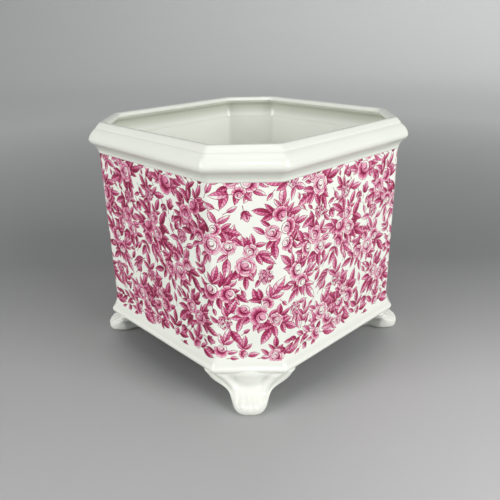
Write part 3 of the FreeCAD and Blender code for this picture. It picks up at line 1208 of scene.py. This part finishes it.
bend_lines = np.concatenate([
    np.linspace(path_breaks[0], path_breaks[1], 4)[1:],
    np.linspace(path_breaks[2], path_breaks[3], 7),
    np.linspace(path_breaks[4], path_breaks[5], 4)[:-1],
])
frame_corners = np.array([[0.0, 0.0], [1.0, 0.0], [1.0, 1.0], [0.0, 1.0]]) * [sheet_length, sheet_height]
bend_ends = np.array([[along, level] for along in bend_lines for level in (0.0, sheet_height)])
flat_points = np.vstack([frame_corners, bend_ends] + outlines)
starts = len(frame_corners) + len(bend_ends) + np.cumsum([0] + [len(line) for line in outlines])
rings = [[0, 1, 2, 3]] + [list(range(first, after)) for first, after in zip(starts[:-1], starts[1:])]
bends = (len(frame_corners) + np.arange(len(bend_ends)).reshape(-1, 2)).tolist()
cut = delaunay_2d_cdt([Vector(point) for point in flat_points.tolist()], bends, rings, 1, 1e-4, True)
cut_points, _, cut_faces, _, _, cut_owners = cut
flat = np.array([point[:] for point in cut_points])
inside = [index for index, owners in enumerate(cut_owners) if 0 in owners]
triangles = np.array([cut_faces[index] for index in inside])
owner_lists = [cut_owners[index] for index in inside]
pair_triangle = np.repeat(np.arange(len(inside)), [len(owners) for owners in owner_lists])
pair_owner = np.array([owner for owners in owner_lists for owner in owners])
pair_centre = flat[triangles].mean(1)[pair_triangle]
lows = np.vstack([frame_corners.min(0)] + [line.min(0) for line in outlines])
highs = np.vstack([frame_corners.max(0)] + [line.max(0) for line in outlines])
held = np.all((pair_centre >= lows[pair_owner]) & (pair_centre <= highs[pair_owner]), axis=1)
topmost = np.zeros(len(inside), int)
np.maximum.at(topmost, pair_triangle[held], pair_owner[held])
used, triangles = np.unique(triangles, return_inverse=True)
flat, triangles = flat[used], triangles.reshape(-1, 3)
print("the print has", len(outlines), "outlines and", len(triangles), "triangles")

# %% Edge and back of the sheet


def edge_loop(faces):
    """The outer edges of a triangle mesh, in their triangles' order: those whose reverse is missing."""
    sides = np.concatenate([faces[:, [0, 1]], faces[:, [1, 2]], faces[:, [2, 0]]])
    count = faces.max() + 1
    forward = sides[:, 0] * count + sides[:, 1]
    backward = sides[:, 1] * count + sides[:, 0]
    return sides[~np.isin(forward, backward)]


rim_edges = edge_loop(triangles)
edge_points = np.unique(rim_edges)
back_index = np.full(len(flat), -1)
back_index[edge_points] = np.arange(len(edge_points))
bend_pairs = []
for along in bend_lines:
    on_line = edge_points[np.abs(flat[edge_points, 0] - along) < 1e-3]
    bend_pairs.append((int(back_index[on_line[0]]), int(back_index[on_line[1]])))
back_cut = delaunay_2d_cdt([Vector(point) for point in flat[edge_points].tolist()],
                           bend_pairs + back_index[rim_edges].tolist(), [], 0, 1e-6, True)
_, _, back_faces, back_origins, _, _ = back_cut
back_order = np.array([origins[0] for origins in back_origins])
back_triangles = back_order[np.array(back_faces)]
back_start = len(flat)
edge_from, edge_to = rim_edges.T
back_from, back_to = back_start + back_index[edge_from], back_start + back_index[edge_to]
sheet_faces = np.vstack([
    triangles,
    back_start + back_triangles[:, ::-1],
    np.stack([edge_to, edge_from, back_from], -1),
    np.stack([edge_to, back_from, back_to], -1),
])
print("the back has", len(back_triangles), "triangles and the edge", len(rim_edges), "sides")

# %% [markdown]
# ### Ink
# Engraved crimson ink is darkest where the strokes crowd together and thins to pink. Each corner of
# a triangle carries its stroke phase and tone in a UV map, both straight-line rules, so they read
# the same however the outlines were cut. Each sheet has a load of ink of its own, a painted shade
# and light: more on the sheet of the dim -Y face, less on the sheet of the lit +X face. The ink lies
# under the same gloss as the white glaze.

# %% Ink
line_strength = 0.36
ink_stops = [
    (0.06, (0.815, 0.610, 0.670, 1.0)),
    (0.30, (0.760, 0.245, 0.415, 1.0)),
    (0.60, (0.500, 0.036, 0.145, 1.0)),
    (0.90, (0.185, 0.001, 0.032, 1.0)),
]


def ink_glaze():
    """Glaze with ink under it: tone plus engraved strokes plus grain, through a crimson ramp."""
    material, tree, shader, place, colour = glaze("printed_glaze")
    strokes = add_node(tree, "UVMap", uv_map="strokes").outputs["UV"]
    phase, tone = add_node(tree, "SeparateXYZ", Vector=strokes).outputs[:2]
    cycle = calculated(tree, "Math", "PINGPONG", phase, 0.5)
    line = spread(tree, cycle, 0.04, 0.18, 1.0, 0.0)
    inked = spread(tree, tone, 0.01, 0.05)
    grain = spread(tree, noise(tree, place, 2600.0, 2.0), 0.3, 0.7, -0.10, 0.10)
    strength = calculated(tree, "Math", "MULTIPLY_ADD", line, line_strength, grain)
    amount = calculated(tree, "Math", "MULTIPLY_ADD", strength, inked, tone)
    ink = colour_ramp(tree, amount, ink_stops, "LINEAR")
    feed(tree, shader["Base Color"], blend_colour(tree, inked, colour, ink))
    return material


# %% The four sheets
# Painted shade and light: the sheet on the dim -Y face takes more ink, the one on the lit +X face less.
painted_shade_ink_loads = {"right": -0.04, "back": 0.02, "left": 0.0, "front": 0.09}
map_width = 0.98
map_margin = 0.01
strip_height = 0.28
strip_bottom = 0.735


def rule_values(rules, owners, corners):
    """Straight-line rules read at the corners of their triangles: start + slope . point."""
    chosen = np.asarray(rules, float)[owners]
    return chosen[:, None, 0] + np.einsum("ij,ikj->ik", chosen[:, 1:], corners)


front_corners = flat[triangles]
stroke_values = rule_values(stroke_rules, topmost, front_corners)
tone_values = rule_values(tone_rules, topmost, front_corners)
printed = (topmost > 0)[:, None]
flat_all = np.vstack([flat, flat[edge_points]])
bake_uv = flat_all[sheet_faces] * map_width / sheet_length + map_margin
# The edge and back lie in a strip of the map above the front.
hidden_uv = bake_uv[len(triangles):]
hidden_uv[:] = hidden_uv * [map_width, strip_height] + [map_margin, strip_bottom]


def stroke_map(load):
    """A sheet's UV values: stroke phase, and tone with its own load of ink as painted shade and light;
    bare on edge and back.
    """
    values = np.zeros((len(sheet_faces), 3, 2))
    values[:, :, 0] = between_strokes
    values[:len(triangles), :, 0] = stroke_values
    values[:len(triangles), :, 1] = np.clip(tone_values + load * printed, 0.0, 1.0)
    return values


printed_glaze = ink_glaze()
for quarter, (side, load) in enumerate(painted_shade_ink_loads.items()):
    sheet_points = np.vstack([
        wrapped(flat, front_lift(flat), quarter),
        wrapped(flat[edge_points], 0.0, quarter),
    ])
    sheet = new_piece("print." + side, sheet_points, sheet_faces.tolist(), "transfer_" + side)
    for name, values in (("strokes", stroke_map(load)), ("OFBake", bake_uv)):
        layer = sheet.data.uv_layers.new(name=name)
        layer.data.foreach_set("uv", np.ascontiguousarray(values, np.float32).reshape(-1))
    dress(sheet, printed_glaze)

# %% [markdown]
# ## Floor, backdrop and light
# The photograph is a plain studio shot on a grey sweep. A sweep with one wall would hide the pot
# from behind, so the stage is a wide shallow bowl, the same all round, and large soft lamps stand
# inside it. The paper's colour is painted light: a painted shadow under the pot, paper painted
# lighter towards the camera and to its right, and a painted pale far edge that also glows.

# %% Paper
far_edge = 3.3
# How much paler the paper is painted with distance: painted light.
painted_far_light_stops = [(0.09, 0.0), (0.20, 0.18), (0.32, 0.56), (0.60, 0.92), (1.0, 1.0)]


def grey(level):
    return (level * 0.985, level, level, 1.0)


def paper_with_painted_light():
    """Grey paper with painted light: a painted shadow under the pot, darker on the camera's left, paper
    lighter towards the camera and to its right, and a pale far edge that glows a little for the camera.
    """
    paper, tree, shader, place = new_material("paper_with_painted_light")
    to_the_side = (-toward_camera[1], toward_camera[0], 0.0)
    away = calculated(tree, "VectorMath", "LENGTH", place)
    near = calculated(tree, "VectorMath", "DOT_PRODUCT", place, toward_camera)
    beside = calculated(tree, "VectorMath", "DOT_PRODUCT", place, to_the_side)
    # Painted light: the paper grows paler towards its far edge.
    levels = [(share, (level, level, level, 1.0)) for share, level in painted_far_light_stops]
    far = colour_ramp(tree, spread(tree, away, 0.0, far_edge), levels, "B_SPLINE")
    # Painted light: the paper is lighter to the camera's right and towards the camera.
    paper_painted_lighter_right = blend_colour(tree, spread(tree, beside, 0.0, 0.15), grey(0.50), grey(0.68))
    paper_painted_lighter_near = blend_colour(tree, spread(tree, near, -0.12, 0.22), grey(0.275), paper_painted_lighter_right)
    # Painted shadow: a dark patch under the pot, darker on the camera's left.
    painted_shadow_under_pot = blend_colour(tree, spread(tree, beside, -0.10, 0.10), grey(0.15), grey(0.31))
    ground = blend_colour(tree, spread(tree, away, 0.05, 0.115), painted_shadow_under_pot, paper_painted_lighter_near)
    seen = add_node(tree, "LightPath").outputs["Is Camera Ray"]
    # Painted glow: the pale far paper glows for camera rays, more to the camera's right.
    lean = spread(tree, beside, -1.2, 1.2, 0.03, 0.37)
    painted_glow = calculated(tree, "Math", "MULTIPLY", far, lean)
    feed(tree, shader["Base Color"], blend_colour(tree, far, ground, grey(0.90)))
    feed(tree, shader["Emission Color"], (1.0, 1.0, 1.0, 1.0))
    feed(tree, shader["Emission Strength"], calculated(tree, "Math", "MULTIPLY", seen, painted_glow))
    feed(tree, shader["Roughness"], 0.8)
    return paper


# %% Stage and lamps
level_reach = 1.7
bowl_radius = 1.5
pot_middle = Vector((0.0, 0.0, 0.09))
lamps = {
    # place, width, watts
    "key": ((1.30, 0.15, 0.62), 1.0, 14.7),
    "window": ((0.75, -0.75, 0.95), 0.10, 0.6),
    "left": ((-0.35, -1.43, 0.60), 1.0, 13.7),
    "front": ((0.75, -1.15, 0.26), 0.70, 0.4),
    "overhead": ((0.05, -0.05, 1.20), 0.90, 2.3),
}
world_light = 0.18


def stage_bowl():
    """A surface of revolution: level out to the lamps, then rising as a quarter-round."""
    turn = np.linspace(0.0, math.pi / 2.0, 18)
    radius = np.concatenate([[0.25, 0.7, 1.4], level_reach + bowl_radius * np.sin(turn)])
    height = np.concatenate([[0.0, 0.0, 0.0], bowl_radius - bowl_radius * np.cos(turn)])
    columns = 96
    angle = full_turn(columns)
    points = lifted(polar(radius[:, None], angle), height[:, None])
    points = np.vstack([points, [0.0, 0.0, 0.0]])
    middle = fan(len(points) - 1, np.arange(columns))
    quads = grid_quads(len(radius), columns, False)[:, ::-1]
    mesh = bpy.data.meshes.new("studio_floor")
    mesh.from_pydata(points, [], quads.tolist() + middle.tolist())
    mesh.shade_smooth()
    floor = add_object("studio_floor", mesh)
    mesh.materials.append(paper_with_painted_light())


def add_lamp(name, place, width, watts):
    """A round soft lamp aimed at the pot."""
    data = bpy.data.lights.new(name, "AREA")
    data.shape = "DISK"
    data.size = width
    data.energy = watts
    lamp = add_object(name, data)
    lamp.location = place
    lamp.rotation_euler = (pot_middle - Vector(place)).to_track_quat("-Z", "Y").to_euler()


stage_bowl()
for name, settings in lamps.items():
    add_lamp(name, *settings)
world = bpy.data.worlds.new("studio")
world.use_nodes = True
background = world.node_tree.nodes["Background"].inputs
background["Color"].default_value = (1.0, 1.0, 1.0, 1.0)
background["Strength"].default_value = world_light
bpy.context.scene.world = world
bpy.context.scene.view_settings.view_transform = "Standard"
